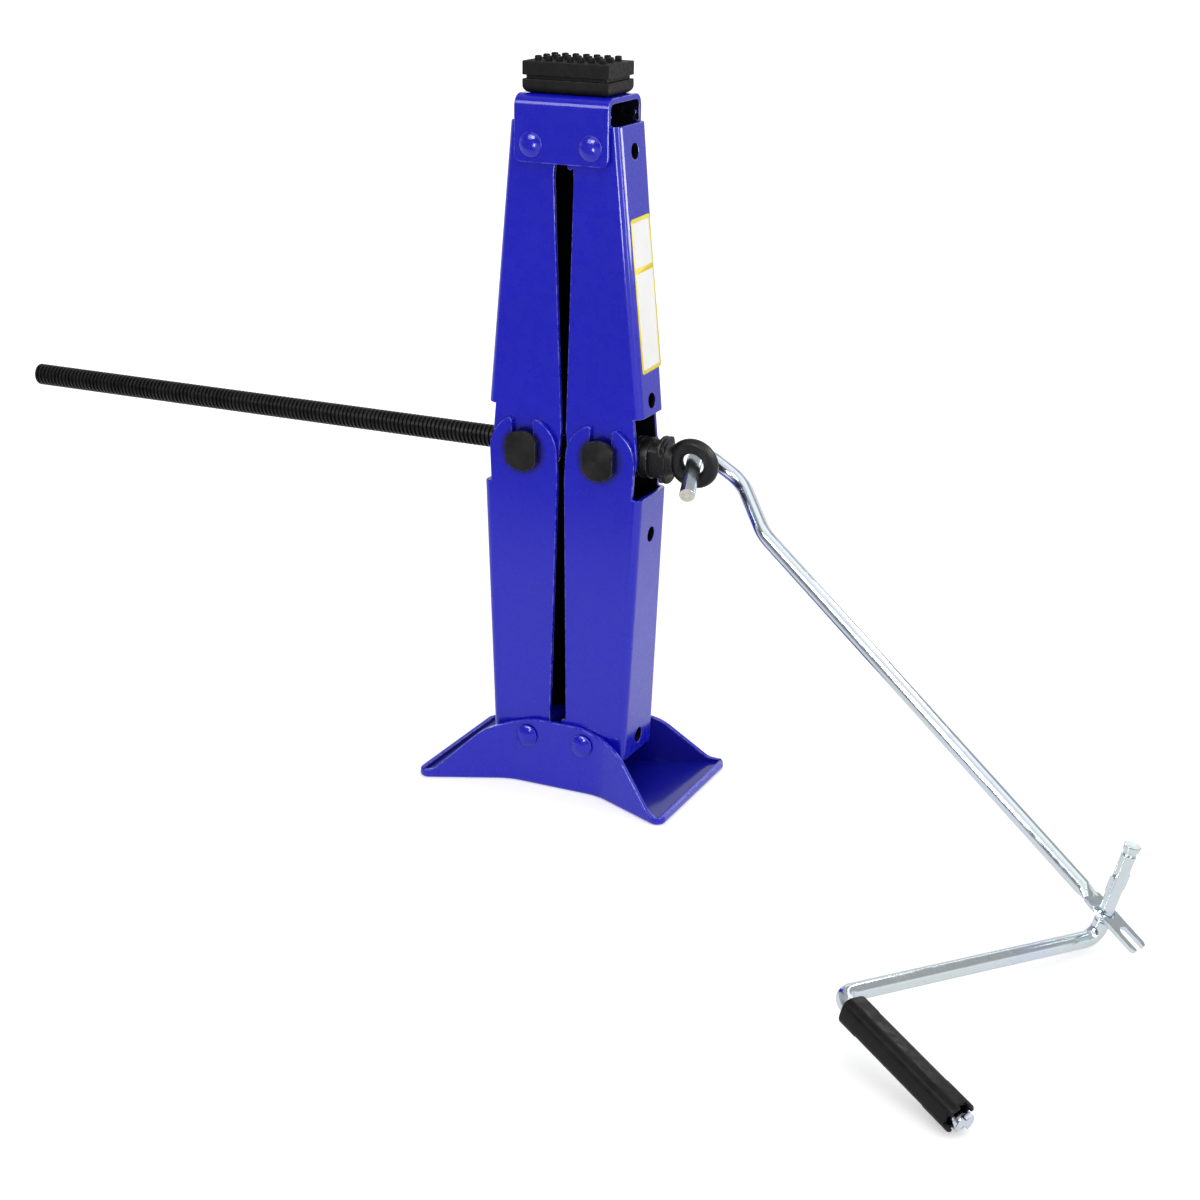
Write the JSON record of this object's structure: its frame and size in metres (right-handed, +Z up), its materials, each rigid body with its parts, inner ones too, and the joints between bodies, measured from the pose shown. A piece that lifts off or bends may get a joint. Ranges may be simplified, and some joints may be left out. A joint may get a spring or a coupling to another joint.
{
  "type": "scissor jack",
  "caption": "Screw-driven scissor lifting jack: pressed folding arms on a tray base, gear-toothed pivots, rubber saddle, and a hooked folding hand crank.",
  "frame": {"origin": "middle of the base's underside, on the floor", "axes": "+Z up through the saddle, +X along the screw towards the eye, +Y away from the crank"},
  "size_m": [0.6759, 0.3001, 0.383],
  "materials": {
    "blue_enamel": "gloss enamel",
    "black_oxide_steel": "black oxide, oiled",
    "bearing_steel": "polished",
    "bright_zinc": "bright zinc plate",
    "saddle_rubber": "moulded, matte",
    "grip_plastic": "satin"
  },
  "bodies": {
    "base": {"base_plate": "blue_enamel", "base_pivot_rivet_left": "blue_enamel", "base_pivot_rivet_right": "blue_enamel"},
    "lower_left": {"lower_arm_left": "blue_enamel"},
    "lower_right": {"lower_arm_right": "blue_enamel"},
    "upper_left": {"upper_arm_left": "blue_enamel"},
    "upper_right": {"upper_arm_right": "blue_enamel"},
    "saddle": {"saddle_bracket": "blue_enamel", "saddle_pad": "saddle_rubber", "top_pivot_rivet_left": "blue_enamel", "top_pivot_rivet_right": "blue_enamel"},
    "nut": {"nut_trunnion": "black_oxide_steel"},
    "bearing": {"bearing_trunnion": "black_oxide_steel", "thrust_race_inner": "black_oxide_steel", "ball_cage": "black_oxide_steel", "thrust_balls": "bearing_steel"},
    "screw": {"lead_screw": "black_oxide_steel", "thrust_race_outer": "black_oxide_steel", "drive_eye": "black_oxide_steel", "eye_cross_pin": "black_oxide_steel"},
    "hook": {"hook_rod": "bright_zinc"},
    "crank": {"crank_rod": "bright_zinc"},
    "grip": {"grip_sleeve": "grip_plastic"}
  },
  "joints": [
    {"name": "lift", "type": "hinge", "parent": "base", "child": "lower_left", "pos_m": [-0.01635, 0, 0.027], "axis": [0, -1, 0], "range_deg": [0, 80]},
    {"name": "lower_right_fold", "type": "hinge", "parent": "base", "child": "lower_right", "pos_m": [0.01635, 0, 0.027], "axis": [0, 1, 0], "range_deg": [0, 80]},
    {"name": "upper_left_fold", "type": "hinge", "parent": "lower_left", "child": "upper_left", "pos_m": [-0.0219, 0, 0.184], "axis": [0, 1, 0], "range_deg": [0, 160]},
    {"name": "upper_right_fold", "type": "hinge", "parent": "lower_right", "child": "upper_right", "pos_m": [0.0219, 0, 0.184], "axis": [0, -1, 0], "range_deg": [0, 160]},
    {"name": "saddle_level", "type": "hinge", "parent": "upper_left", "child": "saddle", "pos_m": [-0.01635, 0, 0.341], "axis": [0, -1, 0], "range_deg": [0, 80]},
    {"name": "nut_level", "type": "hinge", "parent": "lower_left", "child": "nut", "pos_m": [-0.0219, 0, 0.184], "axis": [0, 1, 0], "range_deg": [0, 80]},
    {"name": "bearing_level", "type": "hinge", "parent": "lower_right", "child": "bearing", "pos_m": [0.0219, 0, 0.184], "axis": [0, -1, 0], "range_deg": [0, 80]},
    {"name": "screw_turn", "type": "hinge", "parent": "bearing", "child": "screw", "pos_m": [0, 0, 0.184], "axis": [1, 0, 0], "continuous": true},
    {"name": "hook_swing", "type": "hinge", "parent": "screw", "child": "hook", "pos_m": [0.0669, 0, 0.183], "axis": [0, -0.9781, -0.2079], "range_deg": [-10, 60]},
    {"name": "crank_swing", "type": "hinge", "parent": "hook", "child": "crank", "pos_m": [0.30885, -0.07475, 0.0204], "axis": [0.2487, -0.0135, 0.9685], "range_deg": [-90, 120]},
    {"name": "grip_spin", "type": "hinge", "parent": "crank", "child": "grip", "pos_m": [0.22647, -0.20953, 0.02511], "axis": [0.8289, -0.5143, -0.22], "continuous": true}
  ],
  "couplings": [
    {"joint": "lower_right_fold", "follows": "lift", "ratio": 1},
    {"joint": "upper_left_fold", "follows": "lift", "ratio": 2},
    {"joint": "upper_right_fold", "follows": "lift", "ratio": 2},
    {"joint": "saddle_level", "follows": "lift", "ratio": 1},
    {"joint": "nut_level", "follows": "lift", "ratio": 1},
    {"joint": "bearing_level", "follows": "lift", "ratio": 1}
  ]
}
